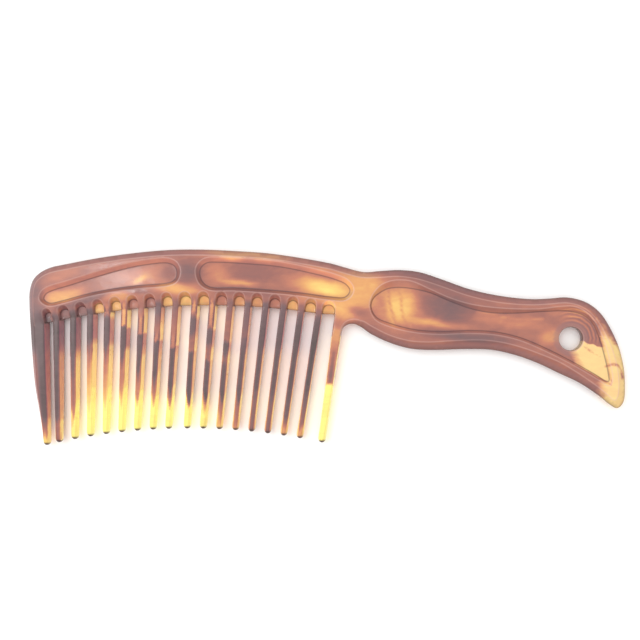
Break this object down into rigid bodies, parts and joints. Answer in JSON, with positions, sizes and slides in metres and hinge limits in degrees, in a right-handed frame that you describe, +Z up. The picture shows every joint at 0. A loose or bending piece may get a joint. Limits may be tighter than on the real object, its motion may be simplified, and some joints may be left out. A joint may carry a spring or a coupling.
{
  "type": "wide tooth comb",
  "caption": "Wide tooth comb with an arched back, round-tipped teeth and a waisted handle with a hanging hole, in swirled tortoiseshell plastic.",
  "frame": {"origin": "middle of the comb's plan box, on the surface that it lies on", "axes": "+X along the comb from the guard tooth towards the tail of the handle, +Y from the tooth tips towards the back, +Z up from the surface that it lies on"},
  "size_m": [0.2096, 0.069, 0.005],
  "materials": {
    "tortoiseshell": "polished, with amber, honey and dark brown swirls moulded through"
  },
  "bodies": {
    "root": {"back": "tortoiseshell", "handle": "tortoiseshell", "guard_tooth": "tortoiseshell", "tooth_02": "tortoiseshell", "tooth_03": "tortoiseshell", "tooth_04": "tortoiseshell", "tooth_05": "tortoiseshell", "tooth_06": "tortoiseshell", "tooth_07": "tortoiseshell", "tooth_08": "tortoiseshell", "tooth_09": "tortoiseshell", "tooth_10": "tortoiseshell", "tooth_11": "tortoiseshell", "tooth_12": "tortoiseshell", "tooth_13": "tortoiseshell", "tooth_14": "tortoiseshell", "tooth_15": "tortoiseshell", "tooth_16": "tortoiseshell", "tooth_17": "tortoiseshell", "heel_tooth": "tortoiseshell"}
  },
  "joints": []
}
